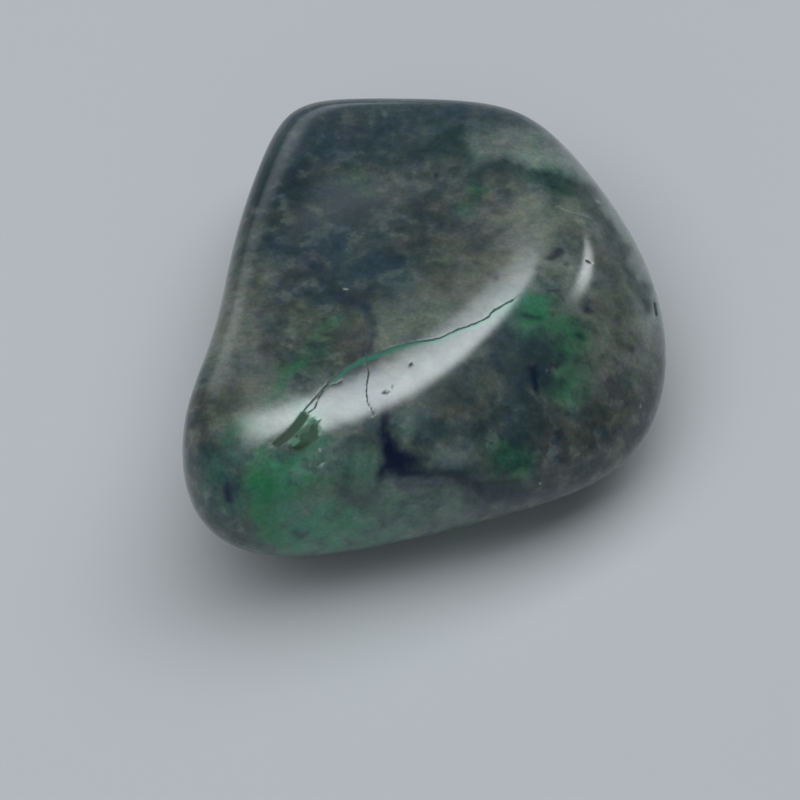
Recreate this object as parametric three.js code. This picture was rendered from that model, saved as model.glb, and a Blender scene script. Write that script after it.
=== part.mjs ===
// A tumbled and polished chrysocolla pebble, about 26 x 31 x 11 mm, as one solid.
// A rough piece of blue-green copper mineral in smoky quartz is worn smooth in a tumbler:
// its broken faces survive as soft flats that run into each other over rounded shoulders.
// Millimetres, +Z up, resting on its flattest side. The long way of the pebble is along Y.
import * as THREE from 'three';
import { mergeVertices } from 'three/addons/utils/BufferGeometryUtils.js';

// The point inside the pebble that the worn flats are measured from, above the resting face.
const MIDDLE = new THREE.Vector3(0, 1.4, 5.5);

// Each worn flat: the bearing it faces in degrees anticlockwise from +X, its rise above the
// horizontal in degrees, its distance from MIDDLE in mm, and how softly it is worn into its
// neighbours in mm.
const WORN_FLATS = {
  top: { bearing: 120, rise: 83.5, distance: 4.75, softness: 0.5 },
  crescentRim: { bearing: -35, rise: 86.5, distance: 5.57, softness: 0.3 },
  frontShoulder: { bearing: -75, rise: 42, distance: 13.6, softness: 1.0 },
  lobeShoulder: { bearing: -135, rise: 38, distance: 17.2, softness: 1.0 },
  frontRightSlope: { bearing: -38, rise: 62, distance: 7.68, softness: 0.9 },
  rightShoulder: { bearing: 10, rise: 60, distance: 8.6, softness: 1.2 },
  rightCornerShoulder: { bearing: -28, rise: 36, distance: 12.6, softness: 1.2 },
  backShoulder: { bearing: 90, rise: 38, distance: 14.0, softness: 0.9 },
  backRightShoulder: { bearing: 38, rise: 27, distance: 13.45, softness: 1.3 },
  backLeftShoulder: { bearing: 146, rise: 25, distance: 15.6, softness: 0.8 },
  backSide: { bearing: 90, rise: 0, distance: 15.8, softness: 1.2 },
  rightUpperSide: { bearing: 14, rise: 11, distance: 14.5, softness: 1.4 },
  rightSide: { bearing: -2, rise: 0, distance: 15.6, softness: 1.2 },
  frontSide: { bearing: -75, rise: 8, distance: 14.0, softness: 1.2 },
  lobeSide: { bearing: -170, rise: -8, distance: 15.4, softness: 1.2 },
  leftSide: { bearing: 168, rise: 9, distance: 11.95, softness: 1.1 },
  rightCorner: { bearing: -40, rise: -26, distance: 14.8, softness: 1.3 },
  frontUnderside: { bearing: -72, rise: -36, distance: 12.2, softness: 1.2 },
  lobeUnderside: { bearing: -131, rise: -30, distance: 17.3, softness: 1.2 },
  leftUnderside: { bearing: 168, rise: -42, distance: 10.6, softness: 1.2 },
  backUnderside: { bearing: 90, rise: -42, distance: 13.0, softness: 1.2 },
  backRightUnderside: { bearing: 38, rise: -40, distance: 12.4, softness: 1.4 },
  rightUnderside: { bearing: -5, rise: -42, distance: 12.8, softness: 1.4 },
  lobeBelly: { bearing: -128, rise: -64, distance: 10.2, softness: 0.9 },
  frontBelly: { bearing: -62, rise: -70, distance: 8.1, softness: 0.9 },
  rightBelly: { bearing: 5, rise: -70, distance: 8.1, softness: 0.9 },
  backBelly: { bearing: 85, rise: -70, distance: 8.7, softness: 0.9 },
  leftBelly: { bearing: 165, rise: -70, distance: 7.9, softness: 0.9 },
  base: { bearing: 0, rise: -90, distance: 6.3, softness: 0.8 },
};

// Each hollow worn or broken into the pebble: its middle, the way it faces, its depth, its
// half length and half width in plan, its half height, the turn of its long way from +X in
// degrees, and the power that squares off its floor (1 is a plain dip).
const HOLLOWS = {
  // the faint dip in the broad face on top, behind the crescent rim
  dish: {
    middle: new THREE.Vector3(-4.0, 1.5, 11),
    bearing: 90, rise: 86, depth: 0.35,
    halfLength: 9, halfWidth: 6, halfHeight: 50, turn: 40, squareness: 1.5,
  },
  // the slight waist in the left flank, above the front lobe
  waist: {
    middle: new THREE.Vector3(-12.5, -2, 6),
    bearing: 180, rise: 0, depth: 0.8,
    halfLength: 3, halfWidth: 6.5, halfHeight: 9, turn: 0, squareness: 1,
  },
  // the small broken pit in the lobe's shoulder, lined with green crystals
  pit: {
    middle: new THREE.Vector3(-6.4, -12.1, 10.5),
    bearing: -90, rise: 55, depth: 0.4,
    halfLength: 1.15, halfWidth: 0.7, halfHeight: 1.3, turn: 20, squareness: 1.5,
  },
};

// Fineness of the faceted surface: every edge of the icosahedron is cut in this many plus one.
const SURFACE_DETAIL = 20;
// No point of the surface lies farther from MIDDLE than this, in mm.
const FARTHEST_REACH = 24;
// Each halving of the search interval doubles the accuracy: 24 mm / 2^30 is far below a micron.
const SEARCH_HALVINGS = 30;

// The unit vector that faces a bearing and a rise, both in degrees.
function facing(bearing, rise) {
  const around = THREE.MathUtils.degToRad(bearing);
  const upward = THREE.MathUtils.degToRad(rise);
  return new THREE.Vector3(
    Math.cos(upward) * Math.cos(around),
    Math.cos(upward) * Math.sin(around),
    Math.sin(upward),
  );
}

const flats = Object.values(WORN_FLATS).map(({ bearing, rise, distance, softness }) => ({
  normal: facing(bearing, rise),
  distance,
  softness,
}));

const hollows = Object.values(HOLLOWS).map((hollow) => ({
  ...hollow,
  normal: facing(hollow.bearing, hollow.rise),
  along: THREE.MathUtils.degToRad(hollow.turn),
}));

// How deep a hollow is at a point: its full depth in the middle, fading to nothing outside.
function hollowDepth(hollow, point) {
  const offset = point.clone().sub(hollow.middle);
  const lengthwise = offset.x * Math.cos(hollow.along) + offset.y * Math.sin(hollow.along);
  const widthwise = offset.y * Math.cos(hollow.along) - offset.x * Math.sin(hollow.along);
  const spread =
    (lengthwise / hollow.halfLength) ** 2 +
    (widthwise / hollow.halfWidth) ** 2 +
    (offset.z / hollow.halfHeight) ** 2;
  return hollow.depth * Math.exp(-(spread ** hollow.squareness));
}

// Negative inside the pebble and positive outside: a smooth maximum over the worn flats.
// A hollow is made by testing a point as if it lay farther out by the hollow's depth.
function outsideness(point) {
  const tested = point.clone();
  for (const hollow of hollows) {
    tested.addScaledVector(hollow.normal, hollowDepth(hollow, point));
  }
  tested.sub(MIDDLE);
  let total = 0;
  for (const { normal, distance, softness } of flats) {
    total += Math.exp((tested.dot(normal) - distance) / softness);
  }
  return Math.log(total);
}

// The distance from MIDDLE to the surface in one direction, cut off flat at the resting face.
function reach(direction) {
  let inside = 0;
  let outside = FARTHEST_REACH;
  for (let step = 0; step < SEARCH_HALVINGS; step += 1) {
    const tried = (inside + outside) / 2;
    const point = MIDDLE.clone().addScaledVector(direction, tried);
    if (outsideness(point) < 0) {
      inside = tried;
    } else {
      outside = tried;
    }
  }
  const toRestingFace = direction.z < 0 ? MIDDLE.z / -direction.z : Infinity;
  return Math.min(inside, toRestingFace);
}

// An even sphere of triangles, with every vertex moved out or in to the pebble's surface and
// the whole set over the origin: the middle of its bounding box in plan, its underside at 0.
function pebbleGeometry() {
  const sphere = new THREE.IcosahedronGeometry(1, SURFACE_DETAIL);
  sphere.deleteAttribute('normal');
  sphere.deleteAttribute('uv');
  const geometry = mergeVertices(sphere, 1e-5);
  const position = geometry.attributes.position;
  const direction = new THREE.Vector3();
  for (let index = 0; index < position.count; index += 1) {
    direction.fromBufferAttribute(position, index).normalize();
    const surface = MIDDLE.clone().addScaledVector(direction, reach(direction));
    position.setXYZ(index, surface.x, surface.y, surface.z);
  }
  geometry.computeBoundingBox();
  const boxMiddle = geometry.boundingBox.getCenter(new THREE.Vector3());
  geometry.translate(-boxMiddle.x, -boxMiddle.y, -geometry.boundingBox.min.z);
  geometry.computeVertexNormals();
  return geometry;
}

// Polished smoky quartz, greyed green by the copper mineral in it.
const polishedStone = new THREE.MeshStandardMaterial({
  color: 0x4c5852,
  roughness: 0.15,
  metalness: 0,
});

const tumbledStone = new THREE.Mesh(pebbleGeometry(), polishedStone);
tumbledStone.name = 'tumbled_stone';

const specimen = new THREE.Group();
specimen.add(tumbledStone);

export default specimen;
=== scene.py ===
# A tumbled and polished chrysocolla pebble, resting on a plain pale surface.
import math

import bmesh
import bpy
import numpy as np
from mathutils import Matrix, Vector, noise as smooth_noise


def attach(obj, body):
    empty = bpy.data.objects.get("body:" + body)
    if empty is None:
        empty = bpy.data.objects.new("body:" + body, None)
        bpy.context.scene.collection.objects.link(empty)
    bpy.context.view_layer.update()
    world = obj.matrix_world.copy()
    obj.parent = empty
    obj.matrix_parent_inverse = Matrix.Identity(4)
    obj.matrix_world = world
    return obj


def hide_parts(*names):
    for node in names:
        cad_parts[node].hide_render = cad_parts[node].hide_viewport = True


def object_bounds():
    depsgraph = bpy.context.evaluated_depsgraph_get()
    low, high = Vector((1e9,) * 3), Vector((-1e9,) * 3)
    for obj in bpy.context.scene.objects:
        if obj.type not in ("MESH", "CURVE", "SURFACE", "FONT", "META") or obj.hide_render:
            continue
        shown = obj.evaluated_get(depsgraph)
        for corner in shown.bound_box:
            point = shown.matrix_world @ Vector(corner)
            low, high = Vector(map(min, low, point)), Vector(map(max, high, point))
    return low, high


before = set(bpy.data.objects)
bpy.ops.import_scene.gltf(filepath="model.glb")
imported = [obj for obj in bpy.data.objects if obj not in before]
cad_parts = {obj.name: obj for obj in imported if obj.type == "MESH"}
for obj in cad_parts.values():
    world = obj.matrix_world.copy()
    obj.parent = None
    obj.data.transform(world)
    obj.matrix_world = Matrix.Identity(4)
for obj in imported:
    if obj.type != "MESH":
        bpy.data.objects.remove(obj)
cad_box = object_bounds()

# The camera
# A close view from the front of the pebble, looking down on it at 52 degrees with a long
# lens, and held about a degree and a half off level.
MM = 0.001
VIEW_RISE = 52.4
VIEW_ROLL = 1.5
VIEW_DISTANCE = 203.0
VIEW_AIM = Vector((-1.6, -0.97, 0.0))
LENS = 159.6
SENSOR = 36.0

view_tilt = math.radians(90.0 - VIEW_RISE)
view_turn = Matrix.Rotation(view_tilt, 3, "X") @ Matrix.Rotation(math.radians(VIEW_ROLL), 3, "Z")
view_across, view_up, view_toward = (Vector(axis) for axis in view_turn.transposed())
camera_data = bpy.data.cameras.new("camera")
camera_data.lens = LENS
camera_data.sensor_width = SENSOR
camera_data.clip_start = 0.01
camera = bpy.data.objects.new("camera", camera_data)
camera_place = (VIEW_AIM + view_toward * VIEW_DISTANCE) * MM
camera.matrix_world = Matrix.Translation(camera_place) @ view_turn.to_4x4()
bpy.context.collection.objects.link(camera)
bpy.context.scene.camera = camera

# The tumbled stone: its form
# One piece of smoky quartz full of blue-green copper mineral, rounded in a tumbler: soft
# worn flats meet over round shoulders, with a dished top, a waisted flank and a broken pit.
MIDDLE = np.array([0.0, 1.4, 5.5])
# each worn flat's bearing and rise in degrees, its distance from MIDDLE and its softness in mm
WORN_FLATS = {
    "top": (120, 83.5, 4.75, 0.5),
    "crescent rim": (-35, 86.5, 5.57, 0.3),
    "front shoulder": (-75, 42, 13.6, 1.0),
    "lobe shoulder": (-135, 38, 17.2, 1.0),
    "front right slope": (-38, 62, 7.68, 0.9),
    "right shoulder": (10, 60, 8.6, 1.2),
    "right corner shoulder": (-28, 36, 12.6, 1.2),
    "back shoulder": (90, 38, 14.0, 0.9),
    "back right shoulder": (38, 27, 13.45, 1.3),
    "back left shoulder": (146, 25, 15.6, 0.8),
    "back side": (90, 0, 15.8, 1.2),
    "right upper side": (14, 11, 14.5, 1.4),
    "right side": (-2, 0, 15.6, 1.2),
    "front side": (-75, 8, 14.0, 1.2),
    "lobe side": (-170, -8, 15.4, 1.2),
    "left side": (168, 9, 11.95, 1.1),
    "right corner": (-40, -26, 14.8, 1.3),
    "front underside": (-72, -36, 12.2, 1.2),
    "lobe underside": (-131, -30, 17.3, 1.2),
    "left underside": (168, -42, 10.6, 1.2),
    "back underside": (90, -42, 13.0, 1.2),
    "back right underside": (38, -40, 12.4, 1.4),
    "right underside": (-5, -42, 12.8, 1.4),
    "lobe belly": (-128, -64, 10.2, 0.9),
    "front belly": (-62, -70, 8.1, 0.9),
    "right belly": (5, -70, 8.1, 0.9),
    "back belly": (85, -70, 8.7, 0.9),
    "left belly": (165, -70, 7.9, 0.9),
    "base": (0, -90, 6.3, 0.8),
}
# each hollow's middle, bearing, rise, depth, half sizes, turn of its long way and squareness
HOLLOWS = {
    "dip": ((-4.0, 1.5, 11.0), 90, 86, 0.35, (9.0, 6.0, 50.0), 40, 1.5),
    "waist": ((-12.5, -2.0, 6.0), 180, 0, 0.8, (3.0, 6.5, 9.0), 0, 1.0),
    "pit": ((-6.4, -12.1, 10.5), -90, 55, 0.4, (1.15, 0.7, 1.3), 20, 1.5),
}
FARTHEST_REACH = 24.0
SEARCH_HALVINGS = 30
# a direction that falls by less than this never meets the resting face
LEAST_FALL = 1e-6


def facing(bearing, rise):
    around = math.radians(bearing)
    upward = math.radians(rise)
    return np.array([
        math.cos(upward) * math.cos(around),
        math.cos(upward) * math.sin(around),
        math.sin(upward),
    ])


def worn_hollows(points):
    """How far each point is pushed outward before it is tested against the worn flats."""
    push = np.zeros_like(points)
    for middle, bearing, rise, depth, half_sizes, turn, squareness in HOLLOWS.values():
        offset = points - np.array(middle)
        along = math.radians(turn)
        lengthwise = offset[:, 0] * math.cos(along) + offset[:, 1] * math.sin(along)
        widthwise = offset[:, 1] * math.cos(along) - offset[:, 0] * math.sin(along)
        spread = (
            (lengthwise / half_sizes[0]) ** 2
            + (widthwise / half_sizes[1]) ** 2
            + (offset[:, 2] / half_sizes[2]) ** 2
        )
        push += depth * np.exp(-(spread ** squareness))[:, None] * facing(bearing, rise)
    return push


def outsideness(points):
    """Negative inside the pebble, positive outside: a smooth maximum over the worn flats."""
    tested = points + worn_hollows(points) - MIDDLE
    total = np.zeros(len(points))
    for bearing, rise, distance, softness in WORN_FLATS.values():
        total += np.exp((tested @ facing(bearing, rise) - distance) / softness)
    return np.log(total)


def pebble_surface(directions):
    """The surface point in each direction from MIDDLE, cut off flat at the resting face."""
    inside = np.zeros(len(directions))
    outside = np.full(len(directions), FARTHEST_REACH)
    for _ in range(SEARCH_HALVINGS):
        tried = (inside + outside) / 2
        within = outsideness(MIDDLE + directions * tried[:, None]) < 0
        inside = np.where(within, tried, inside)
        outside = np.where(within, outside, tried)
    downward = np.minimum(directions[:, 2], -LEAST_FALL)
    to_resting_face = np.where(directions[:, 2] < 0, MIDDLE[2] / -downward, FARTHEST_REACH)
    return MIDDLE + directions * np.minimum(inside, to_resting_face)[:, None]


cad_low, cad_high = (np.array(corner) / MM for corner in cad_box)


def outward(points):
    """The direction straight out of the worn surface at each point."""
    step = 0.01
    slope = [outsideness(points + shift) - outsideness(points - shift) for shift in np.eye(3) * step]
    slope = np.stack(slope, axis=1)
    return slope / np.linalg.norm(slope, axis=1)[:, None]


# The tumbled stone: where its markings lie
# Veins, cracks and patches are laid out in mm on the slanting plane through MIDDLE that the
# viewer faces: across to the right and up, so that top and front are read together.
MIDDLE_REACH = 199.5
# the long fissure: a hairline that starts at the broken pit and climbs over the rim
FISSURE = [
    (-8.67, -7.2), (-7.82, -6.45), (-7.26, -5.7), (-6.7, -4.95), (-6.05, -4.29), (-5.67, -3.73),
    (-4.92, -3.08), (-4.17, -2.56), (-3.42, -2.19), (-2.58, -1.91), (-1.64, -1.53), (-0.71, -1.34),
    (0.61, -1.16), (1.54, -0.69), (2.66, -0.31), (3.42, 0.06), (3.79, 0.48), (4.54, 0.9), (4.85, 1.1),
]
# a short second strand beside it, and the thin crack that crosses the rim
STRAND = [
    (-6.75, -5.42), (-6.33, -5.14), (-6.14, -4.58), (-5.67, -3.83), (-5.11, -3.78), (-4.69, -3.5),
]
CRACK = [
    (-3.42, -1.95), (-3.38, -2.7), (-3.28, -3.08), (-3.42, -3.83), (-3.38, -4.77), (-3.14, -5.19),
    (-2.95, -5.75),
]
# the worn leaf-shaped dip at the fissure's lower end, and the broken pit beside it
LEAF_DIP = [
    (-8.45, -7.15), (-7.9, -6.7), (-7.3, -6.1), (-6.95, -5.6),
]
PIT_PLACE = (-6.9, -6.8)
# open pores, and pale dots, dashes and a scratch, each with its radius in mm: partly white
# quartz, partly small glints of the polish painted in as pale colour
PORES = [
    (0.07, (-0.9, -2.6)),
    (0.04, (-2.5, -4.2), (-2.2, -4.25)),
    (0.04, (-2.0, -3.9)),
    (0.04, (9.03, 3.35), (9.2, 3.25)),
    (0.08, (12.86, 1.0), (12.98, 0.35)),
]
PALE_SPECKS_AND_GLINTS = [
    (0.05, (-6.8, 9.15)),
    (0.03, (-4.73, 10.08)),
    (0.05, (-4.65, 1.72), (-4.45, 1.7)),
    (0.03, (-12.04, -5.23)),
    (0.03, (-8.86, -7.76)),
    (0.03, (6.74, -2.92)),
    (0.05, (12.03, -4.9)),
    (0.06, (6.36, -9.31)),
    # painted glints: the crystal faces in the pit catching the light, painted as pale dots
    (0.08, (-6.05, -7.48)),
    (0.04, (-5.92, -8.3), (-5.9, -8.7)),
    (0.03, (-4.1, -11.35)),
    (0.02, (-5.2, 11.68), (-5.75, 11.62)),
    (0.02, (-3.8, 11.76), (-2.2, 11.82)),
    (0.03, (-0.3, 9.55), (0.1, 9.62)),
    (0.02, (7.44, 6.48), (7.7, 6.3), (8.1, 6.15)),
    (0.015, (8.1, 6.15), (8.85, 5.96), (9.5, 5.82)),
    (0.04, (9.7, 6.75)),
]
# facets are smaller this near to a line or to the pit, down to this length of edge
FINE_REACH = 0.22
FINE_REACH_PIT = 1.6
FINE_EDGE = 0.10
FAR_AWAY = 99.0
SHORTEST_RUN = 1e-9


def laid_on_chart(points):
    """Where each point appears on the chart, across and up in mm."""
    offset = points - MIDDLE
    nearness = MIDDLE_REACH / (MIDDLE_REACH - offset @ np.array(view_toward))
    flat = np.stack([offset @ np.array(view_across), offset @ np.array(view_up)], axis=1)
    return flat * nearness[:, None]


def line_distance(places, points):
    """Signed distance in mm from a bent line on the chart: positive on its left."""
    best = np.full(len(places), FAR_AWAY)
    for start, end in zip(points, points[1:] or points):
        start = np.array(start)
        run = np.array(end) - start
        part = np.clip(((places - start) @ run) / max(run @ run, SHORTEST_RUN), 0, 1)
        gap = places - start - part[:, None] * run
        side = np.where(run[0] * gap[:, 1] - run[1] * gap[:, 0] < 0, -1, 1)
        distance = np.linalg.norm(gap, axis=1) * side
        best = np.where(np.abs(distance) < np.abs(best), distance, best)
    return best


def near_fine_detail(surface):
    """Whether each point is so close to a crack, pore, speck or the pit that it needs small facets."""
    places = laid_on_chart(surface)
    near = np.linalg.norm(places - np.array(PIT_PLACE), axis=1) < FINE_REACH_PIT
    for line in (FISSURE, STRAND, CRACK, LEAF_DIP):
        near |= np.abs(line_distance(places, line)) < FINE_REACH
    for radius, *points in PORES + PALE_SPECKS_AND_GLINTS:
        near |= np.abs(line_distance(places, points)) < radius + FINE_REACH
    return near & ((surface - MIDDLE) @ np.array(view_toward) > 0)


def ball_directions(ball):
    directions = np.array([vertex.co[:] for vertex in ball.verts])
    return directions / np.linalg.norm(directions, axis=1)[:, None]


# An even ball of triangles, cut finer where there is fine detail, then drawn out to the surface.
BALL_CUTS = 7
FINE_ROUNDS = 3
ball = bmesh.new()
bmesh.ops.create_icosphere(ball, subdivisions=BALL_CUTS, radius=1.0)
for _ in range(FINE_ROUNDS):
    surface = pebble_surface(ball_directions(ball))
    near = near_fine_detail(surface)
    ball.edges.ensure_lookup_table()
    ends = np.array([[vertex.index for vertex in edge.verts] for edge in ball.edges])
    length = np.linalg.norm(surface[ends[:, 0]] - surface[ends[:, 1]], axis=1)
    too_long = np.flatnonzero(near[ends].all(axis=1) & (length > FINE_EDGE))
    bmesh.ops.subdivide_edges(ball, edges=[ball.edges[index] for index in too_long], cuts=1)
    ball.verts.index_update()
bmesh.ops.triangulate(ball, faces=ball.faces[:])
surface = pebble_surface(ball_directions(ball))
stone_mesh = bpy.data.meshes.new("tumbled_stone_surface")
ball.to_mesh(stone_mesh)
ball.free()
box_middle = (surface.min(axis=0) + surface.max(axis=0)) / 2
to_frame = (cad_low + cad_high) / 2 - box_middle
to_frame[2] = 0.0

normals = outward(surface)
chart = laid_on_chart(surface)


def smooth_step(value, low, high):
    part = np.clip((value - low) / (high - low), 0, 1)
    return part * part * (3 - 2 * part)


# markings run a little way round the edge that the viewer sees, and stop there
UNSEEN_FACING, SEEN_FACING = -0.35, -0.05
seen = smooth_step(normals @ np.array(view_toward), UNSEEN_FACING, SEEN_FACING)


def strokes(marks, softness):
    """1 inside any mark, a bent line with a half width, fading out over the softness."""
    amount = np.zeros(len(chart))
    for half_width, *points in marks:
        distance = np.abs(line_distance(chart, points))
        edge = smooth_step(distance, half_width - softness / 2, half_width + softness / 2)
        amount = np.maximum(amount, 1 - edge)
    return amount * seen


# The tumbled stone: its cracks, pores and pit
# Hairlines and pores are too fine for the worn flats and hollows above. They are pressed
# straight into the surface, and the pit is lined with small tilted crystal faces.
fissure = line_distance(chart, FISSURE)
strand = line_distance(chart, STRAND)
crack = line_distance(chart, CRACK)
HAIRLINE_DEPTH = 0.003
HAIRLINE_HALF_WIDTH = 0.05
depth = np.zeros(len(surface))
for hairline in (fissure, strand, crack):
    depth += HAIRLINE_DEPTH * np.exp(-(hairline / HAIRLINE_HALF_WIDTH) ** 2) * seen
LEAF_DEPTH = 0.02
depth += LEAF_DEPTH * strokes([(0.20, *LEAF_DIP)], 0.5)
PORE_DEPTH = 0.02
pores = strokes(PORES, 0.10)
depth += PORE_DEPTH * pores
pit = strokes([(0.55, (-7.3, -7.0), (-6.5, -6.5))], 0.6)
CRYSTALS = 26
CRYSTAL_SPREAD = np.array([1.6, 1.1])
CRYSTAL_TILT = 0.10
CRYSTAL_STEP = 0.015
crystal_random = np.random.default_rng(11)
crystal_offsets = crystal_random.uniform(-CRYSTAL_SPREAD, CRYSTAL_SPREAD, (CRYSTALS, 2))
crystal_places = np.array(PIT_PLACE) + crystal_offsets
crystal_tilts = crystal_random.uniform(-CRYSTAL_TILT, CRYSTAL_TILT, (CRYSTALS, 2))
crystal_tones = crystal_random.uniform(0, 1, CRYSTALS)
gaps = np.linalg.norm(chart[:, None, :] - crystal_places[None], axis=2)
nearest = gaps.argmin(axis=1)
tilted_face = ((chart - crystal_places[nearest]) * crystal_tilts[nearest]).sum(axis=1)
depth += pit * (tilted_face + CRYSTAL_STEP * crystal_tones[nearest])
shape = surface - normals * depth[:, None]
stone_mesh.vertices.foreach_set("co", ((shape + to_frame) * MM).ravel())
stone_mesh.update()
for face in stone_mesh.polygons:
    face.use_smooth = True
stone = bpy.data.objects.new("polished_pebble", stone_mesh)
bpy.context.collection.objects.link(stone)


# The tumbled stone: its veins and patches
# Colour alone: copper mineral in the quartz, in soft-edged marks, with a few marks of painted
# highlight and painted reflection among them. Each mark is a half width in mm, a strength
# from 0 to 1 and the points of its centre line on the chart.
def store(name, values):
    layer = stone_mesh.attributes.new(name, "FLOAT", "POINT")
    layer.data.foreach_set("value", np.asarray(values, dtype=np.float32))


store("hidden", 1 - seen)
store("fissure", np.where(seen > 0.5, fissure, FAR_AWAY))
# the teal beside the fissure starts between these two places across the chart
TEAL_FROM, TEAL_FULL = -5.9, -4.6
store("teal_side", smooth_step(chart[:, 0], TEAL_FROM, TEAL_FULL) * seen)
cracks = np.minimum(np.abs(strand), np.abs(crack))
store("cracks", np.where(seen > 0.5, cracks, FAR_AWAY))
store("leaf", strokes([(0.28, *LEAF_DIP)], 0.3))
store("pores", pores)
store("specks_and_glints", strokes(PALE_SPECKS_AND_GLINTS, 0.08))
store("pit", pit)
store("crystal_tone", crystal_tones[nearest])
# cloudy marks wander: their places are shaken by a smooth noise before they are measured
CLOUDY_WANDER = ((0.5, 0.60), (1.3, 0.32), (3.2, 0.14))
WANDER_SLICES = (3.7, 41.3)
wandering = chart.copy()
for axis, noise_slice in enumerate(WANDER_SLICES):
    for per_mm, reach in CLOUDY_WANDER:
        sampled = ((across * per_mm, up * per_mm, noise_slice) for across, up in chart.tolist())
        shaken = [smooth_noise.noise(place) for place in sampled]
        wandering[:, axis] += np.array(shaken) * reach
# this share of a mark's half width is its full-strength core
CORE_SHARE = 0.5


def clouds_of(marks, softness):
    """Soft-edged marks: full strength in the core, falling off like a bell beside it."""
    amount = np.zeros(len(chart))
    for half_width, strength, *points in marks:
        core = half_width * CORE_SHARE
        distance = np.maximum(np.abs(line_distance(wandering, points)) - core, 0)
        bell = np.exp(-(distance / (core + softness)) ** 2)
        amount = 1 - (1 - amount) * (1 - bell * strength)
    return amount * seen


store("navy", clouds_of([
    (0.16, 0.8, (-2.3, -5.1), (-2.4, -6.0)),
    (0.3, 0.9, (-2.5, -6.2), (-2.2, -7.2)),
    (0.4, 1.0, (-2.1, -7.4), (-1.6, -8.1)),
    (0.26, 0.9, (-1.6, -8.0), (-1.0, -8.6)),
    (0.12, 0.7, (-1.9, -8.5), (-2.5, -8.95)),
    (0.12, 0.8, (-1.1, -8.7), (0.2, -8.9), (0.6, -8.8), (2.0, -9.2), (2.9, -9.4)),
    (0.18, 0.8, (0.95, 8.21)),
    (0.14, 0.8, (7.2, 3.75), (7.75, 3.7)),
    (0.14, 0.8, (4.02, 2.17)),
    (0.1, 0.6, (7.9, 2.9)),
    (0.1, 0.6, (5.3, 0.33), (6.2, 0.25)),
    (0.2, 0.7, (8.48, -1.11)),
    (0.18, 0.8, (7.35, -2.7)),
    (0.1, 0.9, (5.75, -2.8), (6.05, -3.3), (6.02, -4.0), (6.3, -4.5)),
    (0.18, 0.7, (9.3, 0.62)),
    (0.08, 0.6, (11.1, -1.44)),
    (0.2, 0.6, (7.54, -6.53)),
    (0.22, 1.0, (-11.35, -9.9)),
    (0.12, 0.6, (-7.4, -12.15), (-6.9, -12.25)),
    (0.07, 0.6, (-5.67, -12.6)),
    (0.06, 0.6, (-3.0, -12.1)),
    (0.07, 0.5, (-3.3, -2.05), (-2.75, -1.95)),
], 0.12))
store("blue", clouds_of([
    (0.05, 0.7, (-9.1, 4.6), (-8.2, 4.15), (-7.26, 3.6), (-6.14, 3.0), (-5.67, 2.2), (-4.64, 1.23),
     (-3.8, 0.95)),
    (0.1, 0.7, (-3.61, 0.85), (-3.3, -0.08), (-3.3, -1.0), (-3.42, -1.8)),
    (0.3, 0.35, (-8.6, -0.06), (-9.15, -0.9), (-9.2, -2.7)),
    (0.5, 0.7, (-2.6, -7.0), (-1.2, -8.8), (0.6, -9.5)),
    (0.3, 0.4, (1.92, 5.45)),
    (0.25, 0.4, (3.09, 4.5)),
    (0.25, 0.6, (3.77, -2.52)),
    (0.5, 0.6, (5.39, -3.6), (6.4, -3.4)),
    (0.5, 0.4, (-11.5, -8.1)),
    (0.5, 0.6, (-11.2, -9.6)),
    (0.35, 0.6, (0.4, -6.5)),
    (0.15, 0.7, (2.9, -9.4), (4.4, -9.9), (6.4, -10.0)),
    (0.6, 0.3, (5.6, -1.8), (6.8, -2.3)),
    (0.3, 0.3, (-8.4, -7.5)),
    (0.4, 0.5, (-5.0, 7.2), (-4.4, 6.4)),
    (0.3, 0.4, (-6.9, 6.9)),
    (0.5, 0.5, (-9.0, 8.4), (-7.6, 8.2)),
    (0.35, 0.4, (-2.0, 3.4)),
    (0.3, 0.4, (-0.4, 7.0)),
], 0.28))
store("green", clouds_of([
    (0.45, 1.0, (-9.1, -8.9), (-9.3, -10.2), (-9.2, -11.3), (-8.8, -12.1)),
    (0.3, 0.5, (-7.9, -10.0), (-6.6, -9.6)),
    (0.16, 0.3, (-5.4, 0.1), (-6.06, -0.6), (-6.7, -1.4), (-7.1, -2.1)),
    (0.12, 0.7, (-7.3, -2.5), (-7.75, -3.1), (-8.3, -3.8), (-8.67, -4.6)),
    (0.42, 0.65, (5.6, 0.5), (6.5, 0.25), (7.3, -0.05), (8.1, -0.7)),
    (0.4, 0.5, (8.3, -1.2), (8.6, -2.2), (8.5, -3.1), (7.9, -3.9)),
    (0.55, 0.6, (6.4, -0.7), (7.6, -1.3)),
    (0.25, 0.4, (2.76, 7.4), (2.29, 6.5)),
    (0.25, 0.5, (-8.4, -7.95), (-7.7, -7.9)),
    (0.4, 0.2, (-4.2, 8.2), (-3.3, 7.3)),
    (0.5, 0.4, (3.8, -7.8), (5.6, -8.6)),
    (0.4, 0.25, (-5.4, -0.4), (-6.3, -2.2)),
], 0.32))
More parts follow.
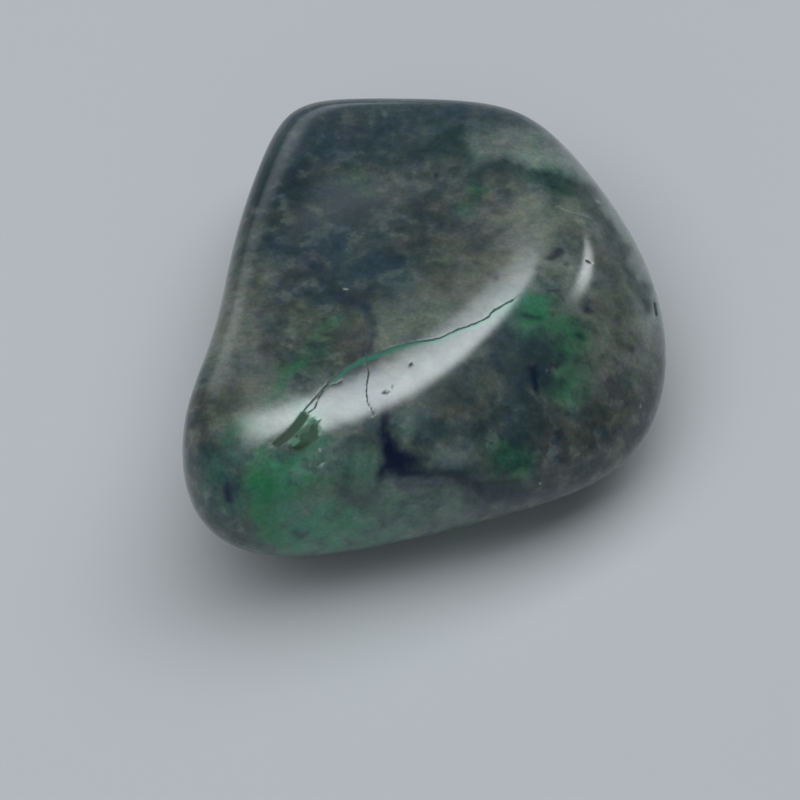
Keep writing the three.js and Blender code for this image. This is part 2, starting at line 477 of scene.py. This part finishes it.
store("jade", clouds_of([
    (0.35, 0.8, (5.0, 0.95), (6.0, 0.55)),
    (0.35, 0.7, (4.4, 0.3), (4.9, -0.4)),
    (0.9, 0.9, (-8.6, -9.4), (-8.2, -12.0), (-6.0, -12.3)),
    (1.0, 0.8, (-6.6, -11.4), (-4.0, -11.9), (-2.0, -11.5)),
    (0.28, 0.9, (-8.9, -8.75), (-7.5, -8.3)),
    (0.28, 0.6, (-7.5, -8.3), (-5.95, -7.5)),
    (0.4, 0.8, (-6.9, -5.55), (-6.6, -6.2)),
    (0.8, 0.5, (-7.4, -9.0), (-6.0, -8.7)),
    (0.5, 0.3, (-1.0, -11.2), (1.5, -10.9)),
    (0.6, 0.5, (-10.6, -6.6), (-9.6, -7.6)),
    (0.25, 0.3, (-0.7, -5.7)),
    (0.4, 0.3, (6.3, 8.15), (7.6, 7.95), (9.0, 7.2)),
    (0.3, 0.25, (7.9, -4.4), (8.6, -3.6)),
    (0.5, 0.35, (-9.6, -6.2), (-8.0, -5.4)),
    (0.9, 0.4, (-4.8, -8.6), (-3.2, -9.2)),
    (0.6, 0.4, (-12.0, -8.6), (-11.0, -10.6)),
], 0.40))
store("deep_teal", clouds_of([
    (0.12, 0.8, (3.2, 8.68), (4.05, 8.72), (5.29, 8.65), (6.02, 8.26), (6.79, 7.92)),
    (0.32, 0.9, (6.79, 7.75), (7.63, 7.6), (8.7, 7.2)),
    (0.16, 1.0, (9.11, 6.29), (9.79, 5.62), (10.44, 4.88), (10.91, 4.15), (11.36, 3.09), (11.85, 2.19),
     (12.5, 0.9)),
    (0.1, 0.7, (-2.13, 9.1), (-0.73, 9.3), (0.61, 9.6), (1.45, 10.0)),
    (0.35, 0.6, (0.6, 9.3), (1.6, 9.2)),
    (0.08, 0.6, (1.45, 11.07), (1.45, 10.13), (1.92, 9.66), (2.48, 8.65), (2.76, 7.4)),
    (0.22, 0.6, (0.0, -6.1)),
    (0.3, 0.7, (4.33, -7.37)),
    (0.5, 0.8, (2.0, -9.0), (4.8, -9.4)),
    (0.35, 0.35, (-4.4, -7.6)),
    (0.5, 0.6, (5.2, -7.9), (6.4, -6.4)),
    (0.6, 0.7, (-9.6, 7.2), (-9.2, 8.8)),
    (1.0, 0.5, (4.6, -2.0), (6.2, -3.4)),
    (0.8, 0.5, (0.6, -4.2), (2.6, -3.6)),
], 0.26))
store("slate", clouds_of([
    (1.6, 0.7, (-9.6, 9.6), (-7.3, 10.6), (-3.6, 11.05), (0.2, 11.6)),
    (0.45, 0.8, (1.5, 12.0), (4.5, 11.6), (7.0, 10.9)),
    (0.9, 0.6, (-6.2, 5.0), (-4.4, 3.2)),
    (0.7, 0.4, (-3.2, 3.6), (-1.6, 1.6)),
    (0.5, 0.4, (-9.4, 4.6), (-7.6, 3.6)),
], 0.6))
store("brown", clouds_of([
    (1.5, 0.7, (-7.6, 1.6), (-6.6, 0.6), (-5.0, -1.2)),
    (1.2, 0.5, (-9.6, 0.8), (-10.0, -1.6)),
    (1.0, 0.7, (1.6, 5.9), (3.4, 6.6)),
    (1.3, 0.5, (9.4, 2.8), (10.4, 0.2), (10.2, -3.0)),
    (1.0, 0.6, (1.2, 2.6), (3.6, 3.6)),
    (0.8, 0.6, (0.4, -4.9), (3.0, -4.2)),
    (1.6, 0.9, (8.0, -7.6), (11.2, -6.2)),
    (0.9, 0.6, (-3.0, -9.6), (-4.6, -9.9)),
    (1.0, 0.6, (-11.4, -4.4), (-12.4, -7.2)),
    (0.8, 0.2, (-9.2, 6.6), (-7.6, 5.9)),
    (0.8, 0.5, (-1.4, 8.0), (0.4, 7.4)),
    (0.6, 0.2, (-6.0, 8.0), (-5.0, 8.6)),
], 0.8))
# where the quartz is clearest it looks deep and dark, and where it is hazy it looks pale;
# some of the hazy marks further down are painted light instead: the soft glow above the
# highlight on the rim, and painted reflections along the left flank and the right rim
store("deep", clouds_of([
    (2.2, 1.0, (-8.4, 8.0), (-6.6, 5.6), (-3.6, 6.4)),
    (1.6, 0.6, (-8.0, 10.4), (-1.0, 11.0)),
    (1.2, 0.4, (-1.4, 4.6), (1.0, 6.4)),
    (1.3, 0.6, (1.0, -6.4), (3.4, -7.4)),
    (1.2, 0.7, (-6.0, 3.2), (-4.2, 1.8)),
    (1.0, 0.5, (5.6, -5.0), (6.6, -7.0)),
    (1.3, 0.6, (5.6, -2.0), (6.8, -2.6)),
    (1.4, 0.7, (3.6, -9.6), (7.6, -9.4)),
    (1.0, 0.7, (-12.2, -7.6), (-10.8, -10.0)),
    (1.4, 0.9, (8.6, -8.2), (12.4, -6.2)),
], 1.0))
store("haze_and_painted_sheen", clouds_of([
    # painted highlight: the soft glow that spreads above the bright highlight on the rim
    (1.2, 1.0, (-3.0, -0.9), (0.4, 0.9), (2.6, 2.4), (4.2, 4.4), (5.8, 5.6)),
    (1.8, 0.6, (8.6, 4.6), (10.6, 0.0), (10.4, -3.6)),
    (1.2, 0.5, (-5.2, -8.0), (-3.8, -9.4)),
    (1.8, 0.35, (-8.4, -10.6), (-5.0, -11.6), (-0.8, -11.2)),
    # painted reflection: a pale glow along the lower left flank
    (1.4, 1.0, (-11.0, 1.0), (-10.0, -5.2)),
    (1.4, 0.5, (1.2, -4.2), (3.6, -3.0)),
    # painted reflection: a pale band along the right rim
    (0.6, 1.0, (10.2, 6.6), (12.2, 3.0), (13.1, -0.8)),
    (0.8, 0.6, (-4.8, 7.0), (-2.6, 6.2)),
    (0.9, 0.8, (-9.6, -5.9), (-8.2, -5.2)),
    # painted highlight: the glow at the upper right end of the highlight on the rim
    (1.3, 0.8, (3.4, 4.6), (6.0, 5.0)),
], 0.9))
store("pale", clouds_of([
    (0.7, 0.4, (3.4, 9.9), (5.2, 9.75)),
    (0.75, 1.0, (6.0, 9.6), (7.4, 9.3), (8.2, 8.6)),
    (0.3, 0.5, (7.6, 3.4), (8.4, 2.2)),
    (0.25, 0.3, (1.2, -8.0), (1.8, -7.6)),
    (0.3, 0.3, (-0.6, -5.2)),
    # painted reflection: a pale band along the right rim
    (0.65, 1.0, (10.9, 6.2), (12.4, 3.2), (13.2, 0.6)),
], 0.55))

# The tumbled stone: its polish and colours
# Smoky grey-brown quartz clouded with slate-blue, teal and green copper mineral and spotted
# with navy, under a glassy tumbled polish that is broken only at cracks, pores and the pit.
stone_material = bpy.data.materials.new("polished_chrysocolla_in_quartz")
stone_material.use_nodes = True
nodes = stone_material.node_tree.nodes
links = stone_material.node_tree.links
polish = nodes["Principled BSDF"]
QUARTZ_IOR = 1.54
polish.inputs["IOR"].default_value = QUARTZ_IOR
polish.inputs["Subsurface Weight"].default_value = 0.15
polish.inputs["Subsurface Radius"].default_value = (1.0, 1.1, 1.1)
polish.inputs["Subsurface Scale"].default_value = 0.0005

place = nodes.new("ShaderNodeTexCoord")
to_mm = nodes.new("ShaderNodeVectorMath")
to_mm.operation = "SCALE"
to_mm.inputs["Scale"].default_value = 1.0 / MM
links.new(place.outputs["Object"], to_mm.inputs[0])


def marking(name):
    node = nodes.new("ShaderNodeAttribute")
    node.attribute_name = name
    return node.outputs["Fac"]


def noise(per_mm, detail, roughness=0.55, distortion=0.0):
    node = nodes.new("ShaderNodeTexNoise")
    node.inputs["Scale"].default_value = per_mm
    node.inputs["Detail"].default_value = detail
    node.inputs["Roughness"].default_value = roughness
    node.inputs["Distortion"].default_value = distortion
    links.new(to_mm.outputs[0], node.inputs["Vector"])
    return node.outputs["Fac"]


def ranged(value, low, high, to_low=0.0, to_high=1.0):
    node = nodes.new("ShaderNodeMapRange")
    node.interpolation_type = "SMOOTHSTEP"
    numbers = {"From Min": low, "From Max": high, "To Min": to_low, "To Max": to_high}
    for socket, number in numbers.items():
        node.inputs[socket].default_value = number
    links.new(value, node.inputs["Value"])
    return node.outputs["Result"]


def blended(amount, first, second):
    node = nodes.new("ShaderNodeMix")
    node.data_type = "RGBA"
    links.new(amount, node.inputs[0])
    for socket, colour in ((node.inputs[6], first), (node.inputs[7], second)):
        if isinstance(colour, tuple):
            socket.default_value = colour
        else:
            links.new(colour, socket)
    return node.outputs[2]


def combined(operation, *values):
    node = nodes.new("ShaderNodeMath")
    node.operation = operation
    for socket, value in zip(node.inputs, values):
        if isinstance(value, (int, float)):
            socket.default_value = value
        else:
            links.new(value, socket)
    return node.outputs[0]


def display(red, green, blue):
    """A colour given as it looks on a display, 0 to 255, as the linear values that a shader takes."""
    return (*(((level / 255 + 0.055) / 1.055) ** 2.4 for level in (red, green, blue)), 1.0)


WORN_LOW, WORN_HIGH = 0.35, 0.62


def worn_through(amount, texture, least, most):
    """A mark's opacity: a noise texture lets more or less of what lies under it show through."""
    return combined("MULTIPLY", amount, ranged(texture, WORN_LOW, WORN_HIGH, least, most))


def many_hued(colour, per_mm, light_change, hue_change):
    """A colour that a soft noise makes lighter or darker, and a little redder, greener or bluer."""
    node = noise(per_mm, 2, distortion=0.2).node
    for source, change in ((node.outputs["Fac"], light_change), (node.outputs["Color"], hue_change)):
        scaled = nodes.new("ShaderNodeVectorMath")
        scaled.operation = "MULTIPLY_ADD"
        links.new(source, scaled.inputs[0])
        scaled.inputs[1].default_value = (change, change, change)
        scaled.inputs[2].default_value = (1 - change / 2, 1 - change / 2, 1 - change / 2)
        product = nodes.new("ShaderNodeVectorMath")
        product.operation = "MULTIPLY"
        links.new(colour, product.inputs[0])
        links.new(scaled.outputs[0], product.inputs[1])
        colour = product.outputs[0]
    return colour


MID_GREY = display(86, 105, 101)
CLEAR_TEAL = display(36, 56, 66)
HAZE_AND_SHEEN_GREY = display(122, 134, 126)
SMOKY_BROWN = display(82, 85, 79)
SLATE_BLUE = display(54, 76, 90)
DARK_TEAL = display(38, 58, 62)
TAN = display(132, 148, 143)
DEEP_TEAL = display(28, 56, 56)
LEAF_GREEN = display(46, 118, 80)
JADE = display(68, 136, 110)
NAVY = display(4, 20, 50)
DARK_BLUE = display(30, 52, 72)
DARK_LINE = display(28, 62, 56)
VEIN_TEAL = display(58, 128, 108)
SPECK_AND_GLINT_WHITE = display(170, 184, 178)
OLIVE = display(36, 62, 42)
PALE_JADE = display(104, 158, 134)

clouds = noise(0.18, 1)
blobs = noise(0.34, 2)
flecks = noise(1.0, 3)
wisps = noise(0.55, 3, distortion=0.5)
# paler where the quartz is hazy, and paler again where a highlight's glow and rim reflections are
# painted in
haze_and_painted_sheen = marking("haze_and_painted_sheen")
clear = ranged(haze_and_painted_sheen, 0.1, 1.0, 1.0, 0.4)
haze_and_sheen_amount = combined("MULTIPLY_ADD", haze_and_painted_sheen, 0.9, ranged(clouds, 0.50, 0.75, 0.0, 0.3))
colour = blended(haze_and_sheen_amount, MID_GREY, HAZE_AND_SHEEN_GREY)
colour = blended(worn_through(marking("deep"), clouds, 1.0, 0.6), colour, CLEAR_TEAL)
colour = blended(worn_through(marking("brown"), blobs, 0.4, 1.1), colour, SMOKY_BROWN)
# the mottling: each texture's range and strength, and the colour that it brings out
for texture, low, high, strength, mottle_colour in (
    (blobs, 0.46, 0.64, 0.50, DARK_TEAL),
    (wisps, 0.50, 0.66, 0.50, SMOKY_BROWN),
    (wisps, 0.50, 0.34, 0.60, SLATE_BLUE),
    (flecks, 0.50, 0.34, 0.60, DARK_TEAL),
    (flecks, 0.50, 0.68, 0.40, HAZE_AND_SHEEN_GREY),
):
    mottle = combined("MULTIPLY", ranged(texture, low, high, 0.0, strength), clear)
    colour = blended(mottle, colour, mottle_colour)
# the mineral's marks: the texture that each is worn through by, and how far
for mineral, texture, least, most, mineral_colour in (
    ("slate", blobs, 0.6, 0.8, SLATE_BLUE),
    # pale marks: a tan patch and pale spots, and a painted reflection along the right rim
    ("pale", blobs, 0.8, 1.0, TAN),
    ("jade", wisps, 0.3, 1.1, JADE),
    ("deep_teal", flecks, 0.7, 1.0, DEEP_TEAL),
    ("green", flecks, 0.3, 1.1, LEAF_GREEN),
    ("blue", flecks, 0.6, 1.0, DARK_BLUE),
):
    opacity = worn_through(marking(mineral), texture, least, most)
    colour = blended(opacity, colour, mineral_colour)
# the sides that the viewer doesn't see have patches of green and spots of navy
HIDDEN_STRENGTH = 0.8
for texture, low, high, patch_colour in (
    (noise(0.28, 4), 0.50, 0.68, JADE),
    (noise(0.7, 3), 0.62, 0.72, NAVY),
):
    patch = combined("MULTIPLY", marking("hidden"), ranged(texture, low, high, 0.0, HIDDEN_STRENGTH))
    colour = blended(patch, colour, patch_colour)
# coarse to fine: how many per mm, and how much each changes the light and the hue
HUE_CHANGES = ((0.5, 0.4, 0.25), (1.8, 0.6, 0.3), (5.0, 0.6, 0.2))
for per_mm, light_change, hue_change in HUE_CHANGES:
    colour = many_hued(colour, per_mm, light_change, hue_change)
colour = blended(worn_through(marking("navy"), blobs, 0.9, 1.0), colour, NAVY)
crystal_colour = blended(ranged(marking("crystal_tone"), 0.2, 0.9), OLIVE, PALE_JADE)
colour = blended(ranged(marking("pit"), 0.2, 0.8, 0.0, 0.8), colour, crystal_colour)
colour = blended(ranged(marking("leaf"), 0.2, 0.8, 0.0, 0.85), colour, OLIVE)
wobbled = combined("MULTIPLY_ADD", combined("SUBTRACT", noise(3.0, 3), 0.5), 0.25, marking("fissure"))
below_fissure = combined("MULTIPLY", ranged(wobbled, -0.42, -0.10), ranged(wobbled, 0.0, 0.06, 1.0, 0.0))
colour = blended(combined("MULTIPLY", below_fissure, marking("teal_side")), colour, VEIN_TEAL)
fissure_line = ranged(combined("ABSOLUTE", wobbled), 0.03, 0.08, 1.0, 0.0)
crack_line = ranged(marking("cracks"), 0.02, 0.07, 1.0, 0.0)
open_lines = combined("MAXIMUM", combined("MULTIPLY", fissure_line, 0.7), crack_line)
broken_polish = combined("MAXIMUM", open_lines, marking("pores"))
colour = blended(broken_polish, colour, DARK_LINE)
# pale dots and dashes: white quartz, and glints of the polish painted as pale colour
colour = blended(combined("MULTIPLY", marking("specks_and_glints"), 0.8), colour, SPECK_AND_GLINT_WHITE)
links.new(colour, polish.inputs["Base Color"])
dull_dips = combined("MAXIMUM", marking("pit"), marking("leaf"))
rough = combined("MAXIMUM", broken_polish, combined("MULTIPLY", dull_dips, 0.8))
POLISHED_ROUGHNESS, BROKEN_ROUGHNESS = 0.12, 0.65
links.new(ranged(rough, 0.0, 1.0, POLISHED_ROUGHNESS, BROKEN_ROUGHNESS), polish.inputs["Roughness"])
stone_mesh.materials.append(stone_material)

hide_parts("tumbled_stone")
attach(stone, "root")

# The surface it rests on
# A plain pale surface with a matt finish, far wider than the view.
floor_mesh = bpy.data.meshes.new("floor")
FLOOR_HALF = 1.5
floor_corners = [
    (across * FLOOR_HALF, deep * FLOOR_HALF, 0)
    for across, deep in ((-1, -1), (1, -1), (1, 1), (-1, 1))
]
floor_mesh.from_pydata(floor_corners, [], [(0, 1, 2, 3)])
floor = bpy.data.objects.new("floor", floor_mesh)
bpy.context.collection.objects.link(floor)
floor_material = bpy.data.materials.new("pale_matt_surface")
floor_material.use_nodes = True
floor_shader = floor_material.node_tree.nodes["Principled BSDF"]
floor_shader.inputs["Base Color"].default_value = (0.69, 0.73, 0.765, 1.0)
floor_shader.inputs["Roughness"].default_value = 0.9
floor_mesh.materials.append(floor_material)

# The studio light
# One long soft panel behind and above the pebble, a narrow strip, a window and the walls are
# seen only in its polish. Two wide diffusers give all the diffuse light, and are hidden from
# reflections, so that the one can be set without the other. Tilts are in degrees.
world = bpy.data.worlds.new("long_soft_panel_in_a_dim_room")
world.use_nodes = True
bpy.context.scene.world = world
world.cycles_visibility.diffuse = False
sky_nodes = world.node_tree.nodes
sky_links = world.node_tree.links
background = sky_nodes["Background"]
sky_place = sky_nodes.new("ShaderNodeTexCoord")
sky_axes = sky_nodes.new("ShaderNodeSeparateXYZ")
sky_links.new(sky_place.outputs["Generated"], sky_axes.inputs[0])


def sky_math(operation, first, second=0.0, third=0.0):
    node = sky_nodes.new("ShaderNodeMath")
    node.operation = operation
    for socket, value in zip(node.inputs, (first, second, third)):
        if isinstance(value, (int, float)):
            socket.default_value = value
        else:
            sky_links.new(value, socket)
    return node.outputs[0]


def sky_step(value, low, high, to_low=0.0, to_high=1.0):
    node = sky_nodes.new("ShaderNodeMapRange")
    node.interpolation_type = "SMOOTHSTEP"
    numbers = {"Value": value, "From Min": low, "From Max": high, "To Min": to_low, "To Max": to_high}
    for socket, number in numbers.items():
        if isinstance(number, (int, float)):
            node.inputs[socket].default_value = number
        else:
            sky_links.new(number, node.inputs[socket])
    return node.outputs["Result"]


def sky_tilt(axis):
    """How far a direction leans from straight up along one axis, in degrees."""
    radians = sky_math("ARCTAN2", sky_axes.outputs[axis], sky_axes.outputs["Z"])
    return sky_math("MULTIPLY", radians, math.degrees(1.0))


back_tilt = sky_tilt("Y")
right_tilt = sky_tilt("X")
PANEL_STRENGTH = 10.2
STRIP_STRENGTH = 8.0
WINDOW_STRENGTH = 1.0
# the panel's near edge is crisp on the right and soft on the left, its far edge fades out
near_edge = sky_step(
    back_tilt,
    sky_step(right_tilt, -14.0, 0.0, 14.0, 29.5),
    sky_step(right_tilt, 0.0, 5.0, 40.0, 34.0),
)
far_edge = sky_step(
    back_tilt,
    sky_step(right_tilt, -2.0, 3.0, 40.0, 35.0),
    sky_step(right_tilt, -6.0, 3.0, 45.0, 50.0),
    1.0,
    0.0,
)
right_edge = sky_step(right_tilt, 10.8, 13.8, 1.0, 0.0)
left_edge = sky_step(right_tilt, -16.0, -0.5)
panel_depth = sky_math("MULTIPLY", near_edge, far_edge)
panel_width = sky_math("MULTIPLY", right_edge, left_edge)
panel = sky_math("MULTIPLY", panel_depth, panel_width)
# a narrow strip light stands to the right and leans outward
strip_side = sky_math("MULTIPLY_ADD", back_tilt, -0.45, sky_math("SUBTRACT", right_tilt, 25.7))
strip_width = sky_step(sky_math("ABSOLUTE", strip_side), 1.4, 4.6, 1.0, 0.0)
strip = sky_math("MULTIPLY", strip_width, sky_step(back_tilt, 31.0, 45.0))
strip = sky_math("MULTIPLY", strip, sky_step(back_tilt, 50.0, 62.0, 1.0, 0.0))
# a wide dim window stands low behind on the left, and the walls brighten toward the floor
# and to the right
window_left = sky_step(right_tilt, -60.0, -38.0)
window_right = sky_step(right_tilt, -32.0, -18.0, 1.0, 0.0)
window_side = sky_math("MULTIPLY", window_left, window_right)
window = sky_math("MULTIPLY", window_side, sky_step(sky_axes.outputs["Y"], 0.70, 0.80))
wall_height = sky_step(sky_axes.outputs["Z"], 0.10, 0.40, 0.22, 0.0)
wall = sky_math("MULTIPLY", wall_height, sky_step(sky_axes.outputs["X"], 0.2, 0.8, 1.0, 2.0))
room = sky_step(sky_axes.outputs["Y"], -0.5, 0.5, 0.09, 0.08)
lit = sky_math("ADD", room, wall)
lit = sky_math("MULTIPLY_ADD", window, WINDOW_STRENGTH, lit)
lit = sky_math("MULTIPLY_ADD", panel, PANEL_STRENGTH, lit)
lit = sky_math("MULTIPLY_ADD", strip, STRIP_STRENGTH, lit)
sky_links.new(lit, background.inputs["Strength"])
background.inputs["Color"].default_value = (0.92, 0.98, 1.0, 1.0)

# each diffuser's place and size in metres, and its radiance; all of them face the pebble
DIFFUSERS = {
    "overhead_diffuser": ((-0.02, 0.03, 0.40), (0.90, 0.36), 1.75),
    "front_diffuser": ((-0.10, -0.60, 0.35), (1.20, 0.60), 0.40),
}
for name, (stand, size, radiance) in DIFFUSERS.items():
    diffuser_light = bpy.data.lights.new(name, "AREA")
    diffuser_light.shape = "RECTANGLE"
    diffuser_light.size, diffuser_light.size_y = size
    diffuser_light.energy = radiance * math.pi * size[0] * size[1]
    diffuser_light.color = (0.97, 0.99, 1.0)
    diffuser = bpy.data.objects.new(name, diffuser_light)
    diffuser.location = stand
    diffuser.rotation_euler = Vector(stand).to_track_quat("Z", "Y").to_euler()
    diffuser.visible_glossy = False
    bpy.context.collection.objects.link(diffuser)
bpy.context.scene.view_settings.view_transform = "Standard"
